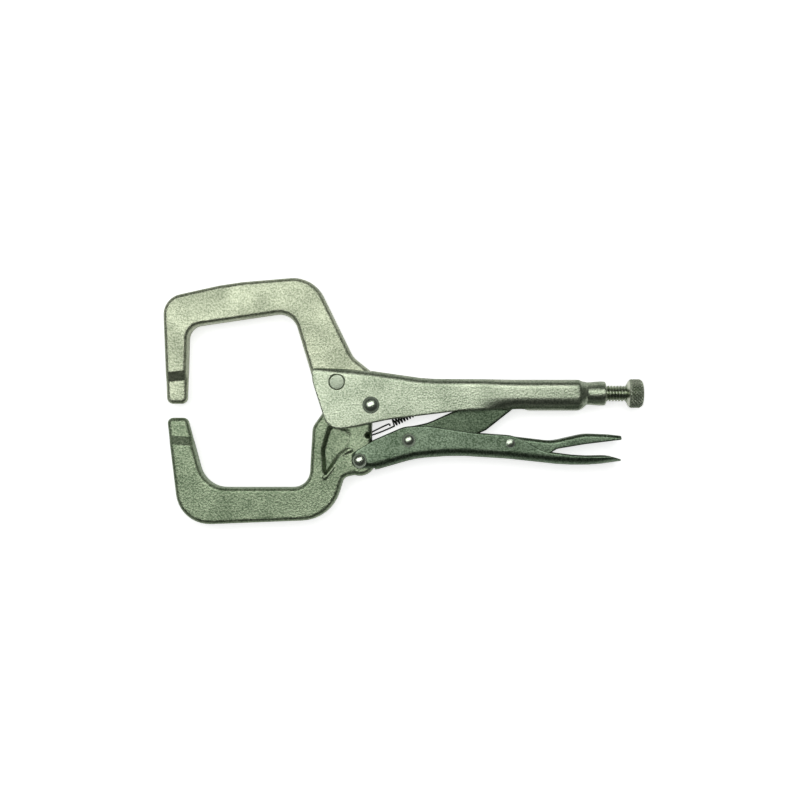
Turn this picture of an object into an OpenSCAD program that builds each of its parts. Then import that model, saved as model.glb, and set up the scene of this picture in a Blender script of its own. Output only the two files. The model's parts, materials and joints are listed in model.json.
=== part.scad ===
// Locking C-clamp, 11 inch class, with regular tips, lying flat in its locked position.
// The design is drawn about the jaw pivot: X runs along the handles towards the knob,
// Y runs across the throat towards the fixed jaw, and Z runs through the thickness.
// in_place() then moves it so that it rests on Z = 0 with its outline centred on the origin.

/* [Jaws] */
// Thickness of the forged fixed jaw
jaw_t = 12.7; // [11:0.1:14]
// Gap left between the tips in the locked position
tip_gap = 8; // [4:0.5:10]
// Thickness of the narrowed tips
tip_t = 7; // [6:0.1:10]
// Length of the flat narrowed part of the fixed jaw's tip
fixed_tip_len = 13; // [8:0.5:14]
// Length of the flat narrowed part of the moving jaw's tip
moving_tip_len = 10.5; // [6:0.5:12]
// Radius of the concave step between an arm and its tip
step_r = 8; // [4:0.5:12]
// Radius of the moving jaw's hub round the jaw pivot
hub_r = 10; // [9:0.1:10.4]
// Radius of the moving jaw's lug round the handle rivet
lug_r = 9.4; // [8.8:0.1:9.8]
// Depth of the teardrop pocket on each face of the moving jaw
pocket_depth = 1.4; // [0.5:0.1:2.5]

/* [Handles] */
// Sheet thickness of the upper handle
body_sheet = 2.6; // [2.2:0.1:2.8]
// Wall thickness of the closed tube at the rear of the upper handle
tube_wall = 2.3; // [2:0.1:2.4]
// Height of the rear tube
tube_h = 18.1; // [17.6:0.1:18.4]
// Radius of the rear tube's long edges
tube_edge_r = 7; // [5:0.1:8.5]
// Outer radius of the fold along the upper handle's top
fold_r = 4.6; // [3:0.1:6]
// Diameter of the crimped neck that holds the screw
neck_d = 14.2; // [13:0.1:15]
// Sheet thickness of the lower handle
handle_sheet = 2.2; // [1.8:0.1:2.4]
// Width of the release lever
lever_w = 12; // [11:0.1:12.3]
// Sheet thickness of the release lever
lever_sheet = 1.8; // [1.4:0.1:2.2]
// Thickness of the toggle link
link_t = 8; // [6:0.1:8.2]

/* [Screw] */
// Outer diameter of the screw's thread
screw_d = 9.5; // [9:0.1:9.6]
// Pitch of the screw's thread
screw_pitch = 1.8; // [1.5:0.1:2.2]
// Depth of the screw's thread
thread_depth = 0.9; // [0.6:0.1:1.2]
// Diameter of the knurled knob
knob_d = 17.2; // [15:0.1:18]
// Length of the knurled knob
knob_len = 8; // [6:0.1:8]

/* [Rivets] */
// Shank and head diameters of the jaw pivot rivet
jaw_rivet = [6.4, 9.8];
// Shank and head diameters of the handle rivet
handle_rivet_d = [5, 8.4];
// Shank and head diameters of the link rivet
link_rivet_d = [4.8, 8];
// Shank and head diameters of the release lever rivet
lever_rivet_d = [3.2, 5.2];
// Height of the jaw pivot rivet's domed heads
dome_h = 2.2; // [1.5:0.1:2.6]
// Diameter of the flush rivet through the fixed jaw
flush_d = 8.8; // [7:0.1:9]
// Radial clearance of each turning fit
running_gap = 0.05; // [0.02:0.01:0.1]

/* [Spring] */
// Wire diameter of the return spring
wire_d = 0.9; // [0.7:0.1:1]
// Outer diameter of the return spring's coils
coil_d = 5; // [4:0.1:5.4]
// Distance from the front anchor to the first coil
coil_start = 16; // [14:0.5:20]
// Distance from the front anchor to the last coil
coil_end = 41; // [34:0.5:41]

/* [Hidden] */
$fn = 64;

steel = "#b9beb4";
forged = "#a9afa4";
dark_wire = "#3c3f3c";

// Pivots, about the jaw pivot at the origin
handle_pivot = [-6.6, -32.1];
link_pivot = [21.9, -20.4];
link_end = [85.5, 5.5];
lever_pivot = [80.6, -22];
flush_at = [-19.7, 13.3];
spring_front = [-1.8, -17.7];
spring_rear = [40.6, 3.2];

body_w = jaw_t + 2 * body_sheet;
moving_jaw_t = jaw_t - 0.2;
handle_gap = jaw_t;
handle_w = handle_gap + 2 * handle_sheet;
tip_y = 0.6;
moving_tip_y = tip_y - tip_gap;
handle_nose_r = 5.9;
link_boss_r = 7.5;
link_nose_r = 4.5;

// Places along the upper handle
web_front = 0;
tube_front = 77;
tube_rear = 122;
neck_front = 126.2;
neck_rear = 136.8;
tube_top = 14.8;
tube_mid = tube_top - tube_h / 2;
slot_end = 92;
link_slot_w = link_t + 1;
fold_x = 32.8;
web_slope = 8;
tab_w = 4;
tab_t = 2;
tab_len = 11;

// Places along the screw
screw_y = 6.7;
pilot_front = 94;
thread_front = 99;
collar_front = 148.6;
knob_front = 150.2;

// Extents of the whole clamp, measured from the jaw pivot
left_end = -121.161;
right_end = knob_front + knob_len;
far_side = 74.253;
near_side = -69.761;
rest_shift = [-(left_end + right_end) / 2, -(far_side + near_side) / 2, body_w / 2 + dome_h];

// Outline with rounded corners: each corner is [x, y, radius]
function unit(v) = v / norm(v);
function arc(centre, r, from, turn) = let (steps = max(1, ceil(abs(turn) / 15)))
    [for (i = [0:steps]) centre + r * [cos(from + turn * i / steps), sin(from + turn * i / steps)]];
function wrap(a) = a > 180 ? a - 360 : a < -180 ? a + 360 : a;
function heading(v) = atan2(v[1], v[0]);
function corner(before, at, after, r) = let (
        u = unit(before - at),
        v = unit(after - at),
        half = acos(max(-1, min(1, u * v))) / 2,
        centre = at + unit(u + v) * r / sin(half),
        from = heading(at + u * r / tan(half) - centre),
        to = heading(at + v * r / tan(half) - centre))
    arc(centre, r, from, wrap(to - from));
function flat(p) = [p[0], p[1]];
function rounded(c) = let (n = len(c))
    [for (i = [0:n - 1])
        each len(c[i]) < 3 ? [c[i]]
            : corner(flat(c[(i + n - 1) % n]), flat(c[i]), flat(c[(i + 1) % n]), c[i][2])];

module in_place() {
    translate(rest_shift) children();
}

// Plate with the outline below, centred on the mid-plane
module plate(thickness) {
    linear_extrude(thickness, center = true) children();
}

module bore(at, d, length = 60) {
    translate([at[0], at[1], 0]) cylinder(d = d, h = length, center = true);
}

module along_x(from) {
    translate(from) rotate([90, 0, 90]) children();
}

// Bar section with four round edges, centred
module round_section(w, h, r) {
    square([w - 2 * r, h], center = true);
    square([w, h - 2 * r], center = true);
    for (sx = [-1, 1], sy = [-1, 1])
        translate([sx * (w / 2 - r), sy * (h / 2 - r)]) circle(r);
}

// Two low domes and the shank between them
module domed_rivet(at, shank_d, head_d, grip, head_h) {
    ball_r = (head_d * head_d / 4 + head_h * head_h) / (2 * head_h);
    translate([at[0], at[1], 0]) {
        cylinder(d = shank_d, h = grip, center = true);
        for (side = [0, 180])
            rotate([side, 0, 0]) translate([0, 0, grip / 2]) rotate_extrude()
                intersection() {
                    translate([0, head_h - ball_r]) circle(ball_r);
                    square([head_d / 2, head_h]);
                }
    }
}

// The forged jaws

module fixed_jaw_outline() {
    difference() {
        polygon(rounded([
            [-119, tip_y, 2.4], [-121.6, 62.6, 12.5], [-82.4, 71.3, 100], [-33.6, 75.4, 20],
            [-10.4, 27.8, 12], [-0.4, 19.9], [-0.4, 16.8], [13.9, 14.8, 1], [13.9, 11, 1],
            [0, 10.8], [-6.6, 11, 1], [-24.6, 4.4, 2], [-31.6, 6.4, 2],
            [-45.8, 53.9, 10.5], [-106, 45, 8], [-107.4, tip_y, 2.4]]));
        circle(hub_r + 1);
    }
}

// Thins both faces of a tip, with a concave step where it meets its arm
module tip_relief(end_y, side, length) {
    for (z = [-1, 1]) {
        translate([-112, end_y + side * length / 2, z * (tip_t / 2 + step_r)])
            cube([24, length, 2 * step_r], center = true);
        translate([-112, end_y + side * length, z * (tip_t / 2 + step_r)])
            rotate([0, 90, 0]) cylinder(r = step_r, h = 24, center = true);
    }
}

module fixed_jaw() {
    color(forged) in_place() difference() {
        plate(jaw_t) fixed_jaw_outline();
        tip_relief(tip_y, 1, fixed_tip_len);
        bore(flush_at, flush_d);
    }
}

module moving_jaw_outline() {
    polygon(rounded([
        [-119.3, moving_tip_y, 2.4], [-111.7, -70.5, 20], [-23.2, -67, 24], [-15.7, -42.3, 4],
        [-9.5, -41], handle_pivot, [0.7, -26.2], [0.7, -9.9], [0, 0], [-3.6, 9.3],
        [-24, 1.5, 3], [-34.3, -12.8, 8], [-36.3, -47.8, 9.5], [-96.3, -47.8, 16],
        [-107.3, moving_tip_y, 2.4]]));
    circle(hub_r);
    translate(handle_pivot) circle(lug_r);
}

module pocket_outline() {
    polygon(rounded([[-24, -9.5, 4], [-10.5, -15.5, 4], [-13.5, -26.5, 5], [-27.6, -43, 1.5],
        [-29, -26, 12]]));
}

module moving_jaw() {
    color(forged) in_place() difference() {
        plate(moving_jaw_t) moving_jaw_outline();
        tip_relief(moving_tip_y, -1, moving_tip_len);
        for (z = [-1, 1])
            translate([0, 0, z * moving_jaw_t / 2]) plate(2 * pocket_depth) pocket_outline();
        bore([0, 0], jaw_rivet[0] + 2 * running_gap);
        bore(handle_pivot, handle_rivet_d[0] + 2 * running_gap);
        bore(spring_front, 3);
        // Slot that lets the spring's wire reach its cross hole
        translate([spring_front[0], spring_front[1] - 2, -1])
            cube([10, 7, 2]);
    }
}

// The upper handle: cheeks at the front, a folded channel, and a closed tube at the rear

module body_outline() {
    polygon(rounded([
        [-34.4, 21.4, 2], [-10, 21.2, 40], [web_front, 20.1, 20], [fold_x, 15.4, 60],
        [tube_rear, tube_top], [tube_rear, tube_top - tube_h], [tube_front + 4, tube_top - tube_h],
        [tube_front - 3, -1.7, 3], [55, -2.9, 60], [10.4, -8.4, 60], [-12.4, -13.3, 60],
        [-24.8, -14.8, 9.5], [-33.9, 13.6, 20]]));
}

// Envelope of the folded sheet: the front part follows the sloping top, the rear part is level
module body_envelope(w, drop, r) {
    depth = 40;
    level = tube_top + 0.5 - drop;
    translate([fold_x, level, 0]) rotate([0, 0, -web_slope]) along_x([-75, -depth / 2, 0])
        linear_extrude(80) round_section(depth, w, r);
    along_x([fold_x - 1, level - depth / 2, 0])
        linear_extrude(tube_front - fold_x + 1) round_section(depth, w, r);
}

module tube_section(w, h, r) {
    along_x([tube_front, tube_mid, 0])
        linear_extrude(tube_rear - tube_front) round_section(h, w, r);
}

module body_skin() {
    intersection() {
        plate(body_w) body_outline();
        union() {
            body_envelope(body_w, 0, fold_r);
            tube_section(body_w, tube_h, tube_edge_r);
        }
    }
    along_x([tube_rear, screw_y - 0.5, 0])
        cylinder(r1 = body_w / 2, r2 = neck_d / 2, h = neck_front - tube_rear);
    along_x([neck_front - 1, screw_y, 0]) cylinder(d = neck_d, h = neck_rear - neck_front + 1);
}

module body_hollow() {
    intersection() {
        body_envelope(jaw_t, body_sheet, fold_r - body_sheet);
        translate([web_front, -40, -20]) cube([tube_front + 0.1 - web_front, 80, 40]);
    }
    translate([-50, -30, -jaw_t / 2]) cube([50 + web_front, 80, jaw_t]);
    along_x([tube_front, tube_mid, 0]) linear_extrude(tube_rear - 1 - tube_front)
        round_section(tube_h - 2 * tube_wall, body_w - 2 * tube_wall, tube_edge_r - tube_wall);
    // Slot in the tube's underside for the toggle link
    translate([tube_front - 10, tube_mid - 20, -link_slot_w / 2])
        cube([slot_end - tube_front + 10, 20, link_slot_w]);
    along_x([tube_rear - 5, screw_y, 0]) cylinder(d = screw_d + 2 * running_gap, h = 30);
    // Window that the spring's tab was cut from
    translate([spring_rear[0] + tab_t / 2, tube_mid, -tab_w / 2]) cube([tab_len, 20, tab_w]);
}

// Tab bent down from the top, with the hole that the spring hooks into
module spring_tab() {
    difference() {
        translate([spring_rear[0] - tab_t / 2, spring_rear[1] - 2.6, -tab_w / 2])
            cube([tab_t, tube_top - 1 - spring_rear[1] + 2.6, tab_w]);
        along_x([spring_rear[0] - 5, spring_rear[1], 0]) cylinder(d = 2.6, h = 10);
    }
}

module upper_handle_shell() {
    color(steel) in_place() {
        difference() {
            body_skin();
            body_hollow();
            bore([0, 0], jaw_rivet[0]);
            bore(flush_at, flush_d);
        }
        spring_tab();
    }
}

// The lower handle: a channel that opens towards the upper handle

function floor_line(up) = [
    [145.3, -32.9 + up, 0.4], [130, -34.9 + up, 60], [112, -35 + up, 80], [80, -31.5 + up, 90],
    [49, -29.6 + up, 80], [26, -31.3 + up, 50], [3, -37.9 + up, 14]];

module lower_handle_outline() {
    polygon(rounded(concat(
        arc(handle_pivot, handle_nose_r, -90, -150),
        [[1, -20.7, 14], [19, -12.9, 16], [31, -11.8, 40], [60, -16.3, 60],
        [83.5, -17.9, 16], [100, -27, 24], [122, -29.9, 60], [139, -29.6, 20], [145.3, -31.6, 0.8]],
        floor_line(0))));
}

module lower_handle_shell() {
    color(steel) in_place() difference() {
        plate(handle_w) lower_handle_outline();
        plate(handle_gap) polygon(rounded(concat([[-30, 0], [150, 0]],
            floor_line(handle_sheet), [[-30, -36]])));
        bore(handle_pivot, 2 * (lug_r + 0.8), handle_gap);
        translate([handle_pivot[0] - 20, -50, -handle_gap / 2])
            cube([20, 50, handle_gap]);
        bore(handle_pivot, handle_rivet_d[0]);
        bore(link_pivot, link_rivet_d[0]);
        bore(lever_pivot, lever_rivet_d[0]);
    }
}

// The toggle link between the lower handle and the screw's tip

module toggle_link() {
    color(forged) in_place() difference() {
        plate(link_t) {
            polygon(rounded(concat(
                arc(link_pivot, link_boss_r, 100, 165),
                [[36, -27.4, 30], [60, -17.8, 10], [66.9, -14.7, 2.4], [81.5, -3.2, 2]],
                arc(link_end, link_nose_r, -45, 150),
                [[77, 9.6, 14], [60, 1.6, 60], [33, -10.6, 30]])));
        }
        bore(link_pivot, link_rivet_d[0] + 2 * running_gap);
    }
}

// The release lever: a pressed channel that opens downward

function lever_line(up) = [
    [63.6, -19.7 + up, 0.5], [69.6, -16.7 + up, 2], [84, -18.3 + up, 60], [105, -20.8 + up, 24],
    [124, -16.5 + up, 24], [138, -17 + up, 20], [145.5, -17.8 + up, 0.5]];

module release_lever() {
    color(steel) in_place() difference() {
        plate(lever_w) polygon(rounded(concat(lever_line(0), [
            [145.5, -20.2, 0.5], [124, -22.8, 60], [108, -25.5, 3], [104, -28, 3], [92, -26.8, 6],
            [80.6, -26.8, 6], [64.4, -22, 1]])));
        plate(lever_w - 2 * lever_sheet)
            polygon(rounded(concat(lever_line(-lever_sheet), [[150, -50], [50, -50]])));
        bore(lever_pivot, lever_rivet_d[0] + 2 * running_gap);
    }
}

// The adjusting screw and its plain tip

module thread_profile() {
    turns = floor((collar_front - thread_front) / screw_pitch);
    outer = screw_d / 2;
    polygon(concat([[0, thread_front], [outer - thread_depth, thread_front]],
        [for (i = [0:turns - 1], step = [0, 1])
            [outer - (step == 0 ? thread_depth : 0), thread_front + (i + 0.5 * step) * screw_pitch]],
        [[outer - thread_depth, thread_front + turns * screw_pitch],
            [outer - thread_depth, collar_front], [0, collar_front]]));
}

module adjusting_screw() {
    edge = 1.4;
    color(steel) in_place() along_x([0, screw_y, 0]) rotate_extrude() {
        thread_profile();
        polygon([[0, collar_front], [screw_d / 2, collar_front], [knob_d / 2 - 3, knob_front],
            [knob_d / 2 - edge, knob_front], [knob_d / 2, knob_front + edge],
            [knob_d / 2, knob_front + knob_len - edge],
            [knob_d / 2 - edge, knob_front + knob_len], [0, knob_front + knob_len]]);
    }
}

module screw_pilot() {
    pilot_r = screw_d / 2 - thread_depth - 0.2;
    color(steel) in_place() along_x([0, screw_y, 0]) rotate_extrude()
        polygon([[0, pilot_front], [pilot_r - 0.8, pilot_front], [pilot_r, pilot_front + 0.8],
            [pilot_r, thread_front], [0, thread_front]]);
}

// Rivets

module jaw_pivot_rivet() {
    color(steel) in_place()
        domed_rivet([0, 0], jaw_rivet[0], jaw_rivet[1], body_w, dome_h);
}

module fixed_jaw_rivet() {
    color(steel) in_place() bore(flush_at, flush_d, body_w);
}

module handle_rivet() {
    color(steel) in_place()
        domed_rivet(handle_pivot, handle_rivet_d[0], handle_rivet_d[1], handle_w, dome_h - 0.2);
}

module link_rivet() {
    color(steel) in_place()
        domed_rivet(link_pivot, link_rivet_d[0], link_rivet_d[1], handle_w, dome_h - 0.2);
}

module release_lever_rivet() {
    color(steel) in_place()
        domed_rivet(lever_pivot, lever_rivet_d[0], lever_rivet_d[1], handle_w, 0.7);
}

// The return spring: its coils as one sleeve, with a straight wire to each anchor

module spring_axis(start) {
    reach = spring_rear - spring_front;
    translate([spring_front[0], spring_front[1], 0]) rotate([0, 0, heading(reach)])
        along_x([start, 0, 0]) children();
}

module return_spring() {
    hook = norm(spring_rear - spring_front) + 3;
    color(dark_wire) in_place() {
        spring_axis(coil_start) difference() {
            cylinder(d = coil_d, h = coil_end - coil_start);
            translate([0, 0, wire_d])
                cylinder(d = coil_d - 2 * wire_d, h = coil_end - coil_start - 2 * wire_d);
        }
        spring_axis(0) cylinder(d = wire_d, h = coil_start + wire_d / 2);
        spring_axis(coil_end - wire_d / 2) cylinder(d = wire_d, h = hook - coil_end);
        bore(spring_front, wire_d, 9);
        spring_axis(hook - wire_d) rotate([0, -90, 0]) cylinder(d = wire_d, h = 3.2);
    }
}

upper_handle_shell();
fixed_jaw();
fixed_jaw_rivet();
jaw_pivot_rivet();
moving_jaw();
lower_handle_shell();
handle_rivet();
toggle_link();
link_rivet();
release_lever();
release_lever_rivet();
screw_pilot();
adjusting_screw();
return_spring();
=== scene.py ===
import json
import math

import bpy
import numpy as np
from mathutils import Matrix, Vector


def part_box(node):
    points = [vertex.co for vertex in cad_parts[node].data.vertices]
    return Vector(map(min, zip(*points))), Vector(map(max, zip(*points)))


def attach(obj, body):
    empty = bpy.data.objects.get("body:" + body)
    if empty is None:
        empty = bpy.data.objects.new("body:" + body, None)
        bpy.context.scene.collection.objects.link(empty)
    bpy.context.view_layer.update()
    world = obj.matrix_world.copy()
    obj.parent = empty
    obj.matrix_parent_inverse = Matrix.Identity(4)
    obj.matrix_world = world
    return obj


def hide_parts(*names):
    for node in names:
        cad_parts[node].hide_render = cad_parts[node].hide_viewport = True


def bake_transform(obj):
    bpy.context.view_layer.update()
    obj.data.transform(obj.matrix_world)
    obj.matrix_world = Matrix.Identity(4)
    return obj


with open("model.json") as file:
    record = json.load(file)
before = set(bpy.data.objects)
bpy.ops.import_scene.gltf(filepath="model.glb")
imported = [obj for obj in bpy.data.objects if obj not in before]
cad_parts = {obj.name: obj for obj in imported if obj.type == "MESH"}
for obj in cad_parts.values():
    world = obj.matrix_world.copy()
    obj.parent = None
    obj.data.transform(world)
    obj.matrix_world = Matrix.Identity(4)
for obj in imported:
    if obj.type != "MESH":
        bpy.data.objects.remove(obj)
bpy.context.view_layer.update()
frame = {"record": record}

record = frame["record"]
joint = {j["name"]: j for j in record["behaviour"]["joints"]}
body_of = {n: b for b, nodes in record["behaviour"]["bodies"].items() for n in nodes}

# Shapes are drawn in millimetres about the jaw pivot, as the design is, and placed in metres.
MM = 0.001
ORIGIN = np.array(joint["jaw_pivot"]["pos_m"])


def pivot(name):
    """A joint's place in millimetres from the jaw pivot."""
    return (np.array(joint[name]["pos_m"]) - ORIGIN)[:2] / MM


def local_box(node):
    """A CAD node's lowest and highest corners in millimetres from the jaw pivot."""
    low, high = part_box(node)
    return (np.array(low) - ORIGIN) / MM, (np.array(high) - ORIGIN) / MM


HANDLE_PIVOT = pivot("handle_pivot")
LINK_PIVOT = pivot("link_pivot")
LEVER_PIVOT = pivot("release_lever_pivot")
SCREW_Y = pivot("screw_turn")[1]
FLUSH_LOW, FLUSH_HIGH = local_box("fixed_jaw_rivet")
FLUSH_AT = ((FLUSH_LOW + FLUSH_HIGH) / 2)[:2]
FLUSH_R = (FLUSH_HIGH[0] - FLUSH_LOW[0]) / 2
JAW_HALF = local_box("fixed_jaw")[1][2]
MOVING_HALF = local_box("moving_jaw")[1][2]
BODY_HALF = local_box("upper_handle_shell")[1][2]
HANDLE_HALF = local_box("lower_handle_shell")[1][2]
LEVER_HALF = local_box("release_lever")[1][2]
LINK_HALF = local_box("toggle_link")[1][2]
KNOB_R = local_box("adjusting_screw")[1][2]
KNOB_END = local_box("adjusting_screw")[1][0]

TIP_HALF = 3.5
FIXED_TIP_Y = 0.6
MOVING_TIP_Y = -7.4
HUB_R = 10
LUG_R = 9.4
BODY_SHEET = 2.6
HANDLE_SHEET = 2.2
LEVER_SHEET = 1.8
FOLD_R = 4.6
TUBE_TOP = 14.8
TUBE_H = 18.1
TUBE_MID = TUBE_TOP - TUBE_H / 2
TUBE_WALL = 2.3
TUBE_FOLD_R = 5.2
TUBE_ROLL_R = 8.0
TUBE_REAR = 122
NECK_FRONT = 126.2
NECK_REAR = 136.8
NECK_R = 7.1
SLOT_END = 92
SLOT_HALF = 4.5
LINK_END = np.array([85.5, 5.5])
SPRING_FRONT = np.array([-1.8, -17.7])
SPRING_REAR = np.array([40.6, 3.2])
SHANK_R = {"jaw_pivot_rivet": 3.2, "handle_rivet": 2.5, "link_rivet": 2.4,
           "release_lever_rivet": 1.6}
RUNNING_GAP = 0.05
SHEET_EDGE = 0.7
LEVER_EDGE = 0.6
JAW_CELL = 0.55


# ---------------------------------------------------------------- outlines and distance fields

def arc(centre, r, start, turn):
    """Points along an arc, angles in degrees."""
    steps = max(1, math.ceil(abs(turn) / 9))
    angles = np.radians(start + turn * np.arange(steps + 1) / steps)
    return [(centre[0] + r * math.cos(a), centre[1] + r * math.sin(a)) for a in angles]


def rounded(corners):
    """Closed outline: each corner is (x, y) or (x, y, fillet radius)."""
    out = []
    for i, c in enumerate(corners):
        if len(c) < 3:
            out.append((c[0], c[1]))
            continue
        at = np.array(c[:2], float)
        before = np.array(corners[i - 1][:2], float) - at
        after = np.array(corners[(i + 1) % len(corners)][:2], float) - at
        u = before / np.linalg.norm(before)
        v = after / np.linalg.norm(after)
        half = math.acos(max(-1, min(1, u @ v))) / 2
        centre = at + (u + v) / np.linalg.norm(u + v) * c[2] / math.sin(half)
        first = at + u * c[2] / math.tan(half) - centre
        last = at + v * c[2] / math.tan(half) - centre
        start = math.degrees(math.atan2(first[1], first[0]))
        turn = math.degrees(math.atan2(last[1], last[0])) - start
        out += arc(centre, c[2], start, (turn + 180) % 360 - 180)
    return out


def inside(points):
    """Signed distance to a closed outline, negative inside, as a function of x and y."""
    start = np.array(points, float)
    end = np.roll(start, -1, axis=0)

    def distance(x, y):
        best = np.full(np.broadcast(x, y).shape, 1e9)
        odd = np.zeros(best.shape, bool)
        for (ax, ay), (bx, by) in zip(start, end, strict=True):
            ex, ey = bx - ax, by - ay
            if ex == ey == 0:
                continue
            wx, wy = x - ax, y - ay
            t = np.clip((wx * ex + wy * ey) / (ex * ex + ey * ey), 0, 1)
            best = np.minimum(best, (wx - ex * t) ** 2 + (wy - ey * t) ** 2)
            above, below, left = y >= ay, y < by, ex * wy > ey * wx
            odd ^= (above & below & left) | ~(above | below | left)
        return np.where(odd, -1, 1) * np.sqrt(best)

    return distance


def slab(d, z, half, r):
    """A plate of that outline and half thickness with round edges."""
    out = d + r
    up = np.abs(z) - half + r
    return np.minimum(np.maximum(out, up), 0) + np.hypot(np.maximum(out, 0), np.maximum(up, 0)) - r


def smooth_max(a, b, k):
    h = np.maximum(k - np.abs(a - b), 0) / k
    return np.maximum(a, b) + h * h * k / 4


def step(low, high, x):
    t = np.clip((x - low) / (high - low), 0, 1)
    return t * t * (3 - 2 * t)


def disc(x, y, at, r):
    return np.hypot(x - at[0], y - at[1]) - r


def block(x, y, z, low, high, r=0.0):
    """A box with round edges."""
    mid = [(a + b) / 2 for a, b in zip(low, high, strict=True)]
    q = [np.abs(p - m) - (b - a) / 2 + r
         for p, m, a, b in zip((x, y, z), mid, low, high, strict=True)]
    away = np.sqrt(sum(np.maximum(v, 0) ** 2 for v in q))
    return away + np.minimum(np.maximum(np.maximum(q[0], q[1]), q[2]), 0) - r


# ---------------------------------------------------------------- meshes

def link_mesh(name, vertices, faces):
    """A Blender object from local millimetre vertices and faces."""
    mesh = bpy.data.meshes.new(name)
    mesh.from_pydata((ORIGIN + np.asarray(vertices) * MM).tolist(), [], faces)
    mesh.update()
    for p in mesh.polygons:
        p.use_smooth = True
    piece = bpy.data.objects.new(name, mesh)
    bpy.context.scene.collection.objects.link(piece)
    return piece


PROBE = 0.04
REFINE_PASSES = 3
FLATTEST_SLOPE = 0.2
LONGEST_MOVE = 0.35


def carve(name, field, low, high, size):
    """Meshes the surface where field(x, y, z) is zero, with quads of about that size."""
    axes = [np.arange(a - 2 * size, b + 2.01 * size, size) for a, b in zip(low, high, strict=True)]
    x, y, z = axes
    v = field(x[:, None, None], y[None, :, None], z[None, None, :])
    v = np.broadcast_to(v, [len(a) for a in axes])
    shape = [n - 1 for n in v.shape]
    total = np.zeros([*shape, 3])
    count = np.zeros(shape)
    sign = v < 0
    quads = []
    crossings = []
    for axis in range(3):
        near = [slice(None)] * 3
        far = [slice(None)] * 3
        near[axis], far[axis] = slice(0, -1), slice(1, None)
        a, b = v[tuple(near)], v[tuple(far)]
        cut = sign[tuple(near)] != sign[tuple(far)]
        with np.errstate(divide="ignore", invalid="ignore"):
            t = np.where(cut, a / (a - b), 0)
        crossings.append((cut, sign[tuple(near)]))
        others = [i for i in range(3) if i != axis]
        for dj in (0, 1):
            for dk in (0, 1):
                pick = [slice(None)] * 3
                pick[others[0]] = slice(dj, dj + shape[others[0]])
                pick[others[1]] = slice(dk, dk + shape[others[1]])
                c, s = cut[tuple(pick)], t[tuple(pick)]
                count += c
                total[..., axis] += np.where(c, s, 0)
                total[..., others[0]] += c * dj
                total[..., others[1]] += c * dk
    active = count > 0
    index = np.full(shape, -1)
    index[active] = np.arange(active.sum())
    cells = np.argwhere(active)
    points = (cells + total[active] / count[active][:, None]) * size + [a[0] for a in axes]
    for axis in range(3):
        cut, solid = crossings[axis]
        others = [i for i in range(3) if i != axis]
        at = np.argwhere(cut)
        inner = np.all([(at[:, o] > 0) & (at[:, o] < shape[o]) for o in others], axis=0)
        at = at[inner]
        flip = solid[tuple(at.T)] ^ (axis == 1)
        ring = []
        for dj, dk in ((-1, -1), (0, -1), (0, 0), (-1, 0)):
            corner = at.copy()
            corner[:, others[0]] += dj
            corner[:, others[1]] += dk
            ring.append(index[tuple(corner.T)])
        ring = np.stack(ring, 1)
        ring[~flip] = ring[~flip][:, ::-1]
        quads.append(ring)
    quads = np.concatenate(quads)
    # The points are then moved on to the surface along its slope
    for _ in range(REFINE_PASSES):
        px, py, pz = points.T
        here = field(px, py, pz)
        slope = np.stack([field(px + PROBE, py, pz) - here, field(px, py + PROBE, pz) - here,
                          field(px, py, pz + PROBE) - here], 1) / PROBE
        length = np.maximum((slope ** 2).sum(1), FLATTEST_SLOPE)
        move = -slope * (here / length)[:, None]
        points = points + np.clip(move, -LONGEST_MOVE * size, LONGEST_MOVE * size)
    return link_mesh(name, points, quads.tolist())


def ring_faces(rings, sides):
    """Faces between neighbouring rings of that many points, with both ends closed."""
    faces = []
    for i in range(rings - 1):
        for k in range(sides):
            n = (k + 1) % sides
            faces.append((i * sides + k, i * sides + n, (i + 1) * sides + n, (i + 1) * sides + k))
    last = (rings - 1) * sides
    faces.append(tuple(reversed(range(sides))))
    faces.append(tuple(range(last, last + sides)))
    return faces


LATHE_SIDES = 56


def lathe(name, at, axis, profile):
    """Spins (radius, height) points about an axis through at, with flat ends."""
    rings = []
    for r, h in profile:
        for k in range(LATHE_SIDES):
            a = 2 * math.pi * k / LATHE_SIDES
            p = (r * math.cos(a), r * math.sin(a), h)
            rings.append(p if axis == "z" else (p[2], p[0], p[1]))
    vertices = np.array(rings) + np.array(at)
    return link_mesh(name, vertices, ring_faces(len(profile), LATHE_SIDES))


def finish_piece(piece, node, material):
    """Puts a piece in the place of its CAD node, on that node's body."""
    piece.data.materials.append(material)
    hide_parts(node)
    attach(piece, body_of[node])


# ---------------------------------------------------------------- materials

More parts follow.
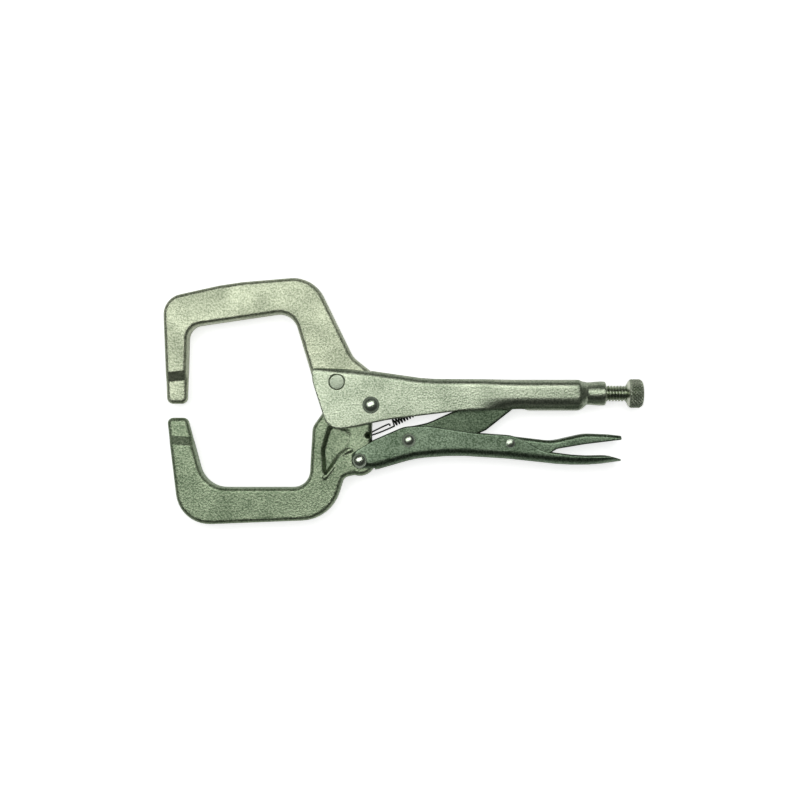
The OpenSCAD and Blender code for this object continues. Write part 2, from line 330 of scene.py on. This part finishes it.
def metal(name, tint, dark, rough, grain, grain_mm, bump, wear_and_highlight=0.5):
    """Nickel plate: mottled tint, uneven gloss, a fine grain, a brighter edge that is partly wear
    and partly painted highlight, and painted shade in creases.
    """
    m = bpy.data.materials.new(name)
    m.use_nodes = True
    tree = m.node_tree
    nodes, links = tree.nodes, tree.links
    nodes.clear()
    out = nodes.new("ShaderNodeOutputMaterial")
    shader = nodes.new("ShaderNodeBsdfPrincipled")
    shader.inputs["Metallic"].default_value = 1
    links.new(shader.outputs[0], out.inputs[0])
    place = nodes.new("ShaderNodeTexCoord").outputs["Object"]

    def noise(scale, detail, roughness=0.55):
        n = nodes.new("ShaderNodeTexNoise")
        n.inputs["Scale"].default_value = scale
        n.inputs["Detail"].default_value = detail
        n.inputs["Roughness"].default_value = roughness
        links.new(place, n.inputs["Vector"])
        return n.outputs["Fac"]

    def span(value, low, high, to_low, to_high):
        r = nodes.new("ShaderNodeMapRange")
        r.inputs["From Min"].default_value = low
        r.inputs["From Max"].default_value = high
        r.inputs["To Min"].default_value = to_low
        r.inputs["To Max"].default_value = to_high
        links.new(value, r.inputs["Value"])
        return r.outputs["Result"]

    def blend(factor, a, b):
        mix = nodes.new("ShaderNodeMix")
        mix.data_type = "RGBA"
        links.new(factor, mix.inputs["Factor"])
        for value, socket in ((a, "A"), (b, "B")):
            target = [s for s in mix.inputs if s.name == socket and s.type == "RGBA"][0]
            if isinstance(value, tuple):
                target.default_value = (*value, 1)
            else:
                links.new(value, target)
        return [s for s in mix.outputs if s.type == "RGBA"][0]

    fine = noise(1 / (grain_mm * MM), 3, 0.6)
    cloud = noise(55, 4)
    patch = span(cloud, 0.36, 0.66, 0, 1 - grain)
    mottle = nodes.new("ShaderNodeMath")
    mottle.operation = "ADD"
    links.new(span(fine, 0.4, 0.6, 0, grain), mottle.inputs[0])
    links.new(patch, mottle.inputs[1])
    colour = blend(mottle.outputs[0], dark, tint)
    # Convex edges are lightened: partly wear on the plating, partly a painted highlight where edges
    # catch the light.
    worn_and_highlit = tuple(min(1, c * 1.7 + 0.06) for c in tint)
    edge = nodes.new("ShaderNodeNewGeometry").outputs["Pointiness"]
    colour = blend(span(edge, 0.52, 0.6, 0, wear_and_highlight), colour, worn_and_highlit)
    # Concave creases, grooves and hollows are darkened with painted shade.
    crease_shade = tuple(c * 0.3 for c in dark)
    colour = blend(span(edge, 0.49, 0.43, 0, 0.8), colour, crease_shade)
    links.new(colour, shader.inputs["Base Color"])
    links.new(span(cloud, 0.3, 0.7, rough + 0.06, rough - 0.05), shader.inputs["Roughness"])
    relief = nodes.new("ShaderNodeBump")
    relief.inputs["Strength"].default_value = bump
    relief.inputs["Distance"].default_value = grain_mm * MM * 0.25
    links.new(fine, relief.inputs["Height"])
    links.new(relief.outputs[0], shader.inputs["Normal"])
    return m


# forged_nickel and pressed_nickel are the lit copies; their darker copies are painted shade for
# parts further from the key light.
FORGED = metal("forged_nickel", (0.53, 0.57, 0.42), (0.23, 0.27, 0.18), 0.40, 0.7, 1.1, 0.9)
# The darker forged nickel is painted shade for the moving jaw, which lies further from the key light
# than the fixed jaw.
FORGED_SHADED = metal("forged_nickel_shaded", (0.36, 0.43, 0.29), (0.12, 0.17, 0.10), 0.40, 0.7, 1.1, 0.9)
SHEET = metal("pressed_nickel", (0.50, 0.55, 0.42), (0.20, 0.25, 0.17), 0.33, 0.7, 1.0, 0.7)
# The darker pressed nickel is painted shade for the lower handle and the lever, further from the key
# light.
SHEET_SHADED = metal("pressed_nickel_shaded", (0.22, 0.29, 0.20), (0.05, 0.08, 0.045), 0.34, 0.7, 1.0, 0.7)
PLUG = metal("plug_nickel", (0.36, 0.41, 0.31), (0.20, 0.24, 0.18), 0.38, 0.5, 1.0, 0.5)
# The link is the same nickel; its dark tint is painted shade for the shadow between the handle
# sheets.
LINK_SHADE = metal("link_nickel_shaded", (0.15, 0.20, 0.13), (0.03, 0.05, 0.027), 0.42, 0.7, 1.0, 0.7)
BRIGHT = metal("rivet_nickel", (0.62, 0.70, 0.56), (0.40, 0.47, 0.37), 0.29, 0.3, 0.8, 0.12)
TURNED = metal("screw_nickel", (0.58, 0.64, 0.48), (0.20, 0.24, 0.17), 0.24, 0.3, 0.8, 0.12, 0.4)
WIRE = metal("spring_wire", (0.05, 0.06, 0.05), (0.02, 0.025, 0.02), 0.35, 0.3, 0.4, 0.1, 0)


# ---------------------------------------------------------------- the forged jaws

fixed_outline = inside(rounded([
    (-119.2, FIXED_TIP_Y, 3.6), (-121.6, 62.6, 12.5), (-82.4, 71.3, 100), (-33.6, 75.4, 20),
    (-10.4, 27.8, 12), (-0.4, 19.9), (-0.4, 16.8), (13.9, 14.8, 1), (13.9, 11, 1),
    (0, 10.8), (-6.6, 11, 1), (-24.6, 4.4, 2), (-31.6, 6.4, 2),
    (-45.8, 53.9, 10.5), (-106, 45, 8), (-107.2, FIXED_TIP_Y, 3.6)]))

moving_outline = inside(rounded([
    (-119.4, MOVING_TIP_Y, 3.2), (-111.7, -70.5, 20), (-23.2, -67, 24), (-15.7, -42.3, 4),
    (-9.5, -41), HANDLE_PIVOT[:2], (0.7, -26.2), (0.7, -9.9), (0, 0), (-3.6, 9.3),
    (-24, 1.5, 3), (-34.3, -12.8, 8), (-36.3, -47.8, 9.5), (-96.3, -47.8, 16),
    (-107.2, MOVING_TIP_Y, 3.6)]))

pocket_outline = inside(rounded([
    (-24, -9.5, 4), (-10.5, -15.5, 4), (-13.5, -26.5, 5), (-27.6, -43, 1.5), (-29, -26, 12)]))


POCKET_DEPTH = 2.6
RIDGE = [(-12, -26), (-15.5, -27.2), (-18, -29), (-20.5, -32.2), (-23, -36.5), (-27, -42)]
RAMP_RUN = 5.5
DRAFT = 0.12
JAW_EDGE = 2.2
RAMPS_BEFORE = -70


def tip_rise(past, full):
    """Half thickness near a jaw tip: a straight ramp from the thin tip up to the full jaw."""
    t = np.clip(past / RAMP_RUN, 0, 1)
    return TIP_HALF + (full - TIP_HALF) * t


def near_path(x, y, path):
    """Distance to an open line of points."""
    best = 1e9
    for a, b in zip(path, path[1:], strict=False):
        e = (b[0] - a[0], b[1] - a[1])
        t = np.clip(((x - a[0]) * e[0] + (y - a[1]) * e[1]) / (e[0] ** 2 + e[1] ** 2), 0, 1)
        best = np.minimum(best, np.hypot(x - a[0] - e[0] * t, y - a[1] - e[1] * t))
    return best


def fixed_jaw_field(x, y, z):
    plan = np.maximum(fixed_outline(x, y), -disc(x, y, (0, 0), HUB_R + 1))
    past = y - FIXED_TIP_Y - 13 - 0.1 * (x + 118)
    half = np.where(x < RAMPS_BEFORE, tip_rise(past, JAW_HALF), JAW_HALF)
    d = slab(plan + DRAFT * np.abs(z), z, half, JAW_EDGE)
    return np.maximum(d, -disc(x, y, FLUSH_AT, FLUSH_R))


def moving_jaw_field(x, y, z):
    plan = moving_outline(x, y)
    plan = np.minimum(plan, np.minimum(disc(x, y, (0, 0), HUB_R), disc(x, y, HANDLE_PIVOT, LUG_R)))
    past = MOVING_TIP_Y - 10.5 - 0.08 * (x + 112) - y
    half = np.where(x < RAMPS_BEFORE, tip_rise(past, MOVING_HALF), MOVING_HALF)
    # The pocket is deep along its front wall and runs out towards the ridge
    depth = POCKET_DEPTH * (1 - 0.75 * step(-29, -13, x))
    half = half - depth * step(0.4, -2.4, pocket_outline(x, y))
    half = half + 0.6 * step(1.8, 0.2, near_path(x, y, RIDGE))
    d = slab(plan + DRAFT * np.abs(z), z, half, JAW_EDGE)
    # The spring's hole opens out towards both faces
    flare = np.clip(0.55 + (np.abs(z) - 3) * 0.6, 0.55, 1.7)
    for at, r in (((0, 0), SHANK_R["jaw_pivot_rivet"] + RUNNING_GAP),
                  (HANDLE_PIVOT, SHANK_R["handle_rivet"] + RUNNING_GAP),
                  (SPRING_FRONT, flare)):
        d = np.maximum(d, -disc(x, y, at, r))
    slot = block(x, y, z, (SPRING_FRONT[0], -20, -1), (SPRING_FRONT[0] + 8, -12.5, 1))
    return np.maximum(d, -slot)


def make_jaws():
    # The moving jaw gets the darker forged nickel, which is painted shade.
    for name, node, field, material in (
            ("fixed_jaw_forging", "fixed_jaw", fixed_jaw_field, FORGED),
            ("moving_jaw_forging", "moving_jaw", moving_jaw_field, FORGED_SHADED)):
        low, high = local_box(node)
        finish_piece(carve(name, field, low, high, JAW_CELL), node, material)


# ---------------------------------------------------------------- the upper handle

body_side = inside(rounded([
    (-34.4, 21.4, 2), (-10, 21.2, 40), (0, 20.1, 20), (32.8, 15.4, 60),
    (200, TUBE_TOP), (200, TUBE_TOP - TUBE_H - 2), (88, TUBE_TOP - TUBE_H - 2),
    (76, -2.4, 8), (55, -2.9, 60), (10.4, -8.4, 60), (-12.4, -13.3, 60),
    (-24.8, -14.8, 9.5), (-33.9, 13.6, 20)]))

body_above = inside(rounded([
    (-80, 27.9), (0, 20.1, 20), (32.8, 15.4, 60), (200, TUBE_TOP), (200, -80), (-80, -80)]))


def body_field(x, y, z):
    tube = step(60, 86, x)
    top = body_above(x, y)
    folded = slab(top, z, BODY_HALF, FOLD_R)
    across = [np.abs(y - TUBE_MID), np.abs(z)]
    # The tube keeps the sheet's fold along its back and is rolled round below
    r_out = TUBE_ROLL_R + (TUBE_FOLD_R - TUBE_ROLL_R) * step(TUBE_MID - 1.5, TUBE_MID + 1.5, y)
    r_in = r_out - TUBE_WALL

    def section(high, wide, r):
        a, b = across[0] - high + r, across[1] - wide + r
        return np.minimum(np.maximum(a, b), 0) + np.hypot(np.maximum(a, 0), np.maximum(b, 0)) - r

    round_out = section(TUBE_H / 2, BODY_HALF, r_out)
    round_in = section(TUBE_H / 2 - TUBE_WALL, BODY_HALF - TUBE_WALL, r_in)
    channel_in = slab(top + BODY_SHEET, z, BODY_HALF - BODY_SHEET, FOLD_R - BODY_SHEET)
    channel_in = np.where(x < 0, np.maximum(np.abs(z) - JAW_HALF, x), channel_in)
    outer = folded * (1 - tube) + round_out * tube
    inner = channel_in * (1 - tube) + round_in * tube
    # The tube is swaged down to the neck that holds the screw
    centre = TUBE_MID + (SCREW_Y - TUBE_MID) * step(TUBE_REAR, NECK_FRONT, x)
    ring = np.hypot(y - centre, z)
    waist = 0.5 * step(NECK_FRONT - 2, NECK_FRONT, x) * (1 - step(NECK_FRONT, NECK_REAR - 3, x))
    neck = ring - NECK_R + waist
    swage = step(TUBE_REAR - 2, NECK_FRONT, x)
    outer = outer * (1 - swage) + neck * swage
    outer = smooth_max(outer, x - NECK_REAR, 1.2)
    inner = np.where(x > TUBE_REAR - 1, np.hypot(y - SCREW_Y, z) - 4.8, inner)
    d = smooth_max(outer, -inner, 0.5)
    d = smooth_max(d, body_side(x, y), SHEET_EDGE)
    # The slot under the tube for the link has a round end
    slot = np.hypot(np.maximum(x - SLOT_END + SLOT_HALF, 0), z) - SLOT_HALF
    slot = np.maximum(np.maximum(slot, y - TUBE_MID), 70 - x)
    d = np.maximum(d, -slot)
    window = block(x, y, z, (SPRING_REAR[0] + 1, 9, -2), (SPRING_REAR[0] + 12, 22, 2))
    d = np.maximum(d, -window)
    tab = block(x, y, z, (SPRING_REAR[0] - 1, SPRING_REAR[1] - 2.6, -2),
                (SPRING_REAR[0] + 1, 13.6, 2), 0.4)
    tab = np.maximum(tab, -(np.hypot(y - SPRING_REAR[1], z) - 1.3))
    d = np.minimum(d, tab)
    for at, r in (((0, 0), SHANK_R["jaw_pivot_rivet"]), (FLUSH_AT, FLUSH_R)):
        d = np.maximum(d, -disc(x, y, at, r))
    return d


# ---------------------------------------------------------------- the lower handle, lever, link

def handle_floor(up):
    return [(145.3, -32.9 + up, 0.4), (130, -34.9 + up, 60), (112, -35 + up, 80),
            (80, -31.5 + up, 90), (49, -29.6 + up, 80), (26, -31.3 + up, 50), (3, -37.9 + up, 14)]


handle_side = inside(rounded(
    arc(HANDLE_PIVOT, 5.9, -90, -150)
    + [(1, -20.7, 14), (19, -12.9, 16), (31, -11.8, 40), (60, -16.3, 60), (83.5, -17.9, 16),
       (100, -27, 24), (122, -29.9, 60), (139, -29.6, 20), (145.3, -31.6, 0.8)]
    + handle_floor(0)))
handle_below = inside(rounded(
    arc(HANDLE_PIVOT, 5.9, -90, -90) + [(-12.5, 40), (190, 40), (190, -26)] + handle_floor(0)[1:]))


def handle_field(x, y, z):
    under = handle_below(x, y)
    outer = slab(under, z, HANDLE_HALF, 5.2)
    inner = slab(under + HANDLE_SHEET, z, HANDLE_HALF - HANDLE_SHEET, 3)
    front = np.maximum(disc(x, y, HANDLE_PIVOT, LUG_R + 0.8), np.abs(z) - JAW_HALF)
    nose = np.maximum(x - HANDLE_PIVOT[0], np.abs(z) - JAW_HALF)
    d = smooth_max(outer, -np.minimum(np.minimum(inner, front), nose), 0.4)
    d = smooth_max(d, handle_side(x, y), SHEET_EDGE)
    for at, rivet in ((HANDLE_PIVOT, "handle_rivet"), (LINK_PIVOT, "link_rivet"),
                      (LEVER_PIVOT, "release_lever_rivet")):
        d = np.maximum(d, -disc(x, y, at, SHANK_R[rivet]))
    return d


lever_top = [(63.6, -19.7, 0.5), (69.6, -16.7, 2), (84, -18.3, 60), (105, -20.8, 24),
             (124, -16.5, 24), (138, -17, 20), (145.5, -17.8, 0.5)]
lever_side = inside(rounded(lever_top + [
    (145.5, -20.2, 0.5), (124, -22.8, 60), (108, -25.5, 3), (104, -28, 3), (92, -26.8, 6),
    (80.6, -26.8, 6), (64.4, -22, 1)]))
lever_above = inside(rounded(
    [(40, -31.6), *lever_top[1:6], (170, -20.4), (170, -70), (40, -70)]))


def lever_field(x, y, z):
    top = lever_above(x, y)
    outer = slab(top, z, LEVER_HALF, 2.6)
    inner = slab(top + LEVER_SHEET, z, LEVER_HALF - LEVER_SHEET, 1.2)
    d = smooth_max(outer, -inner, 0.3)
    d = smooth_max(d, lever_side(x, y), LEVER_EDGE)
    return np.maximum(d, -disc(x, y, LEVER_PIVOT, SHANK_R["release_lever_rivet"] + RUNNING_GAP))


link_side = inside(rounded(
    arc(LINK_PIVOT, 7.5, 100, 165)
    + [(36, -27.4, 30), (60, -17.8, 10), (66.9, -14.7, 2.4), (81.5, -3.2, 2)]
    + arc(LINK_END, 4.5, -45, 150)
    + [(77, 9.6, 14), (60, 1.6, 60), (33, -10.6, 30)]))


def link_field(x, y, z):
    d = slab(link_side(x, y), z, LINK_HALF, 1.0)
    return np.maximum(d, -disc(x, y, LINK_PIVOT, SHANK_R["link_rivet"] + RUNNING_GAP))


def make_handles():
    """The two pressed handles, and the lever and the link between them."""
    # The lower handle and lever get the darker pressed nickel, and the link the dark link nickel:
    # both are painted shade.
    for name, node, field, size, material in (
            ("upper_handle_sheet", "upper_handle_shell", body_field, 0.5, SHEET),
            ("lower_handle_sheet", "lower_handle_shell", handle_field, 0.5, SHEET_SHADED),
            ("release_lever_sheet", "release_lever", lever_field, 0.42, SHEET_SHADED),
            ("toggle_link_plate", "toggle_link", link_field, 0.6, LINK_SHADE)):
        low, high = local_box(node)
        finish_piece(carve(name, field, low, high, size), node, material)


# ---------------------------------------------------------------- rivets

def dome(shank_r, head_r, grip, head_h, flare=0.35):
    """Half profile of a domed rivet, from its foot to its crown."""
    ball = (head_r ** 2 + head_h ** 2) / (2 * head_h)
    reach = math.asin(head_r / ball)
    curve = [(ball * math.sin(a), grip / 2 + head_h - ball + ball * math.cos(a))
             for a in np.linspace(reach, 0.03, 12)]
    top = [(shank_r, grip / 2), (head_r - flare / 2, grip / 2), (head_r, grip / 2 + flare / 2)]
    half = top + [p for p in curve if p[1] > grip / 2 + flare * 0.6]
    return [(r, -h) for r, h in reversed(half)] + half


def make_rivets():
    for name, node, at in (("jaw_pivot_rivet_domed", "jaw_pivot_rivet", (0, 0)),
                           ("handle_rivet_domed", "handle_rivet", HANDLE_PIVOT),
                           ("link_rivet_domed", "link_rivet", LINK_PIVOT),
                           ("release_lever_rivet_domed", "release_lever_rivet", LEVER_PIVOT)):
        low, high = local_box(node)
        half = BODY_HALF if node == "jaw_pivot_rivet" else HANDLE_HALF
        shank = SHANK_R[node]
        profile = dome(shank, (high[0] - low[0]) / 2, 2 * half, high[2] - half)
        finish_piece(lathe(name, (*at, 0), "z", profile), node, BRIGHT)
    r = FLUSH_R - 0.08
    half = [(r, BODY_HALF - 0.7), (r, BODY_HALF - 0.2), (r - 0.2, BODY_HALF - 0.03),
            (r - 0.5, BODY_HALF), (0.05, BODY_HALF + 0.02)]
    profile = [(a, -h) for a, h in reversed(half)] + half
    finish_piece(lathe("fixed_jaw_rivet_flush", (*FLUSH_AT, 0), "z", profile),
                 "fixed_jaw_rivet", PLUG)


# ---------------------------------------------------------------- the screw

THREAD_R = 4.75
THREAD_DEPTH = 0.9
PITCH = 1.8
KNURL_DEPTH = 0.85
THREAD_FRONT = 99
COLLAR = 148.6
CONE_RISE = 2.6
KNOB_FRONT = 150.2
KNOB_EDGE = 1.3
KNURL_CELLS = 26
THREAD_STEP = 0.12
THREAD_SIDES = 64
KNOB_RINGS = 62
KNOB_SIDES = 272
HAIR = 1e-4


def swept_skin(heights, radius, segments):
    """Vertices and faces round the screw's axis whose radius is radius(angle, x)."""
    angle = 2 * math.pi * np.arange(segments) / segments
    rings = []
    for x in heights:
        r = radius(angle, x)
        rings.append(np.stack([np.full(segments, x), SCREW_Y + r * np.cos(angle),
                               r * np.sin(angle)], 1))
    return np.concatenate(rings), ring_faces(len(heights), segments)


def thread_radius(angle, x):
    """A right-hand thread with flat crests that runs out at both ends."""
    turn = (x / PITCH - angle / (2 * math.pi)) % 1
    tooth = np.clip((np.abs(turn - 0.5) - 0.06) / 0.34, 0, 1)
    end = step(THREAD_FRONT, THREAD_FRONT + 1.5, x) * (1 - step(COLLAR - 1.6, COLLAR, x))
    depth = THREAD_DEPTH * (1 - tooth) * end + THREAD_DEPTH * 0.6 * (1 - end)
    return THREAD_R - depth


def knob_radius(angle, x):
    """A knob with a diamond knurl between two plain chamfers."""
    t = x - KNOB_FRONT
    length = KNOB_END - KNOB_FRONT
    from_end = np.minimum(t, length - t)
    base = KNOB_R - max(0.0, KNOB_EDGE - from_end) * 0.95
    rise = 2 * math.pi * KNOB_R / KNURL_CELLS
    u = (angle * KNURL_CELLS / (2 * math.pi) + t / rise) % 1
    v = (angle * KNURL_CELLS / (2 * math.pi) - t / rise) % 1
    ridge = np.minimum(1 - np.abs(2 * u - 1), 1 - np.abs(2 * v - 1))
    groove = KNURL_DEPTH * (1 - np.clip(ridge * 1.1, 0, 1))
    return base - groove * float(step(0.3, 1.2, from_end))


def head_radius(angle, x):
    """The cone that widens from the thread to the knob, and the knob."""
    if x < KNOB_FRONT:
        t = (x - COLLAR) / (KNOB_FRONT - COLLAR)
        return np.full(len(angle), THREAD_R - 0.3 + CONE_RISE * t)
    return knob_radius(angle, x)


def make_screw():
    thread = [*np.arange(THREAD_FRONT, COLLAR, THREAD_STEP), COLLAR]
    vertices, faces = swept_skin(thread, thread_radius, THREAD_SIDES)
    # The knob's rings start a hair past the ring at its front, so that no two rings coincide
    knob = np.linspace(KNOB_FRONT, KNOB_END, KNOB_RINGS) + HAIR
    head = [COLLAR, COLLAR + 0.3, COLLAR + 0.9, KNOB_FRONT, *knob]
    head_vertices, head_faces = swept_skin(head, head_radius, KNOB_SIDES)
    faces += [tuple(i + len(vertices) for i in f) for f in head_faces]
    piece = link_mesh("adjusting_screw_turned", np.concatenate([vertices, head_vertices]), faces)
    finish_piece(piece, "adjusting_screw", TURNED)
    low, high = local_box("screw_pilot")
    tip_r = high[2]
    profile = [(tip_r - 1.1, low[0]), (tip_r - 0.8, low[0]), (tip_r - 0.2, low[0] + 0.6),
               (tip_r, low[0] + 1), (tip_r, high[0])]
    piece = lathe("screw_pilot_turned", (0, SCREW_Y, 0), "x", profile)
    finish_piece(piece, "screw_pilot", TURNED)


# ---------------------------------------------------------------- the return spring

WIRE_R = 0.47
COIL_R = 2.0
COIL_FROM = 16.0
COIL_TO = 40.5
COIL_TURNS = 14
COIL_STEPS = 18
WIRE_SIDES = 10


def pipe(name, path, r):
    """A round wire along a path, with parallel rings and closed ends."""
    path = np.array(path, float)
    along = np.gradient(path, axis=0)
    along /= np.linalg.norm(along, axis=1)[:, None]
    side = np.cross(along[0], (0.1, 0.2, 1.0))
    side /= np.linalg.norm(side)
    vertices = []
    for p, t in zip(path, along, strict=True):
        side = side - t * (side @ t)
        side /= np.linalg.norm(side)
        up = np.cross(t, side)
        for k in range(WIRE_SIDES):
            a = 2 * math.pi * k / WIRE_SIDES
            vertices.append(p + r * (side * math.cos(a) + up * math.sin(a)))
    return link_mesh(name, vertices, ring_faces(len(path), WIRE_SIDES))


def make_spring():
    """A long open hook at the front, close coils, and a short hook through the tab."""
    reach = SPRING_REAR - SPRING_FRONT
    length = float(np.linalg.norm(reach))
    along = np.array([*reach, 0]) / length
    across = np.array([-along[1], along[0], 0])
    up = np.array([0, 0, 1.0])
    start = np.array([*SPRING_FRONT, 0])
    path = [(13.6, -0.7, 0), (14.1, -0.3, 0), (14.1, 0.2, 0), (13.6, 0.6, 0), (9, 0.75, 0),
            (4, 0.7, 0), (1.4, 0.5, 0.1), (0.4, 0.2, 0.4), (0, 0, 0.9), (-0.1, 0, 0),
            (0, -0.1, -0.9), (0.4, -0.4, -0.4), (1.4, -0.8, -0.1), (4, -1.2, 0), (9, -1.7, 0),
            (14.5, -1.95, 0.1)]
    for i in range(COIL_TURNS * COIL_STEPS + 1):
        a = 2 * math.pi * i / COIL_STEPS
        s = COIL_FROM + (COIL_TO - COIL_FROM) * i / (COIL_TURNS * COIL_STEPS)
        path.append((s, -COIL_R * math.cos(a), COIL_R * math.sin(a)))
    path += [(COIL_TO + 1.6, -1.5, 0.8), (COIL_TO + 3, -0.6, 0.3), (length - 1, 0, 0),
             (length + 1.6, 0, 0), (length + 2.6, 0.5, 0), (length + 3, 1.4, 0),
             (length + 2.8, 2.6, 0)]
    points = [start + along * s + across * a + up * z for s, a, z in path]
    piece = pipe("return_spring_wire", points, WIRE_R)
    piece.data.materials.append(WIRE)
    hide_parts("return_spring")
    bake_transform(piece)


# ---------------------------------------------------------------- stage

FLOOR_REACH = 20
CAMERA_ABOVE = 0.70
VIEW_WIDTH = 0.468
VIEW_CENTRE = ORIGIN + np.array([16.8, 2.9, 0]) * MM
KEY_AT = (-0.12, 0.29, 1.24)
KEY_SIZE = (1.6, 0.78)
KEY_POWER = 10.6


def soft_light(name, place, aim, size, power):
    lamp = bpy.data.lights.new(name, "AREA")
    lamp.shape = "RECTANGLE"
    lamp.size, lamp.size_y = size
    lamp.energy = power
    obj = bpy.data.objects.new(name, lamp)
    obj.location = place
    obj.rotation_euler = (Vector(aim) - Vector(place)).to_track_quat("-Z", "Y").to_euler()
    bpy.context.scene.collection.objects.link(obj)


def floor_paper():
    paper = bpy.data.materials.new("floor_paper")
    paper.use_nodes = True
    shader = paper.node_tree.nodes["Principled BSDF"]
    shader.inputs["Base Color"].default_value = (0.9, 0.9, 0.9, 1)
    shader.inputs["Roughness"].default_value = 0.9
    shader.inputs["Specular IOR Level"].default_value = 0.2
    # A little glow keeps the paper white to the eye without lighting the metal
    seen = paper.node_tree.nodes.new("ShaderNodeLightPath").outputs["Is Camera Ray"]
    glow = paper.node_tree.nodes.new("ShaderNodeMath")
    glow.operation = "MULTIPLY_ADD"
    glow.inputs[1].default_value = 0.36
    glow.inputs[2].default_value = 0.32
    paper.node_tree.links.new(seen, glow.inputs[0])
    paper.node_tree.links.new(glow.outputs[0], shader.inputs["Emission Strength"])
    shader.inputs["Emission Color"].default_value = (1, 1, 1, 1)
    return paper


def make_floor():
    r = FLOOR_REACH
    mesh = bpy.data.meshes.new("floor")
    mesh.from_pydata([(-r, -r, 0), (r, -r, 0), (r, r, 0), (-r, r, 0)], [], [(0, 1, 2, 3)])
    floor = bpy.data.objects.new("floor", mesh)
    bpy.context.scene.collection.objects.link(floor)
    mesh.materials.append(floor_paper())


def make_world():
    """A room that is dark overhead and lighter along the horizon."""
    world = bpy.data.worlds.new("studio")
    bpy.context.scene.world = world
    world.use_nodes = True
    tree = world.node_tree
    direction = tree.nodes.new("ShaderNodeTexCoord")
    split = tree.nodes.new("ShaderNodeSeparateXYZ")
    fade = tree.nodes.new("ShaderNodeMapRange")
    fade.inputs["From Min"].default_value = 0.08
    fade.inputs["From Max"].default_value = 0.38
    fade.inputs["To Min"].default_value = 0.45
    fade.inputs["To Max"].default_value = 0.04
    tree.links.new(direction.outputs["Generated"], split.inputs[0])
    tree.links.new(split.outputs["Z"], fade.inputs["Value"])
    tree.links.new(fade.outputs["Result"], tree.nodes["Background"].inputs["Strength"])
    tree.nodes["Background"].inputs["Color"].default_value = (0.95, 1, 0.95, 1)


def make_camera():
    """A camera that looks straight down on the middle of the view."""
    camera = bpy.data.cameras.new("camera")
    camera.sensor_width = 36
    camera.lens = camera.sensor_width * CAMERA_ABOVE / VIEW_WIDTH
    camera.clip_start = 0.01
    eye = bpy.data.objects.new("camera", camera)
    eye.location = (VIEW_CENTRE[0], VIEW_CENTRE[1], ORIGIN[2] + CAMERA_ABOVE)
    bpy.context.scene.collection.objects.link(eye)
    bpy.context.scene.camera = eye


def make_stage():
    make_floor()
    make_world()
    soft_light("key", KEY_AT, (0, 0, 0), KEY_SIZE, KEY_POWER)
    make_camera()
    bpy.context.scene.view_settings.view_transform = "Standard"


make_stage()
make_jaws()
make_handles()
make_rivets()
make_screw()
make_spring()
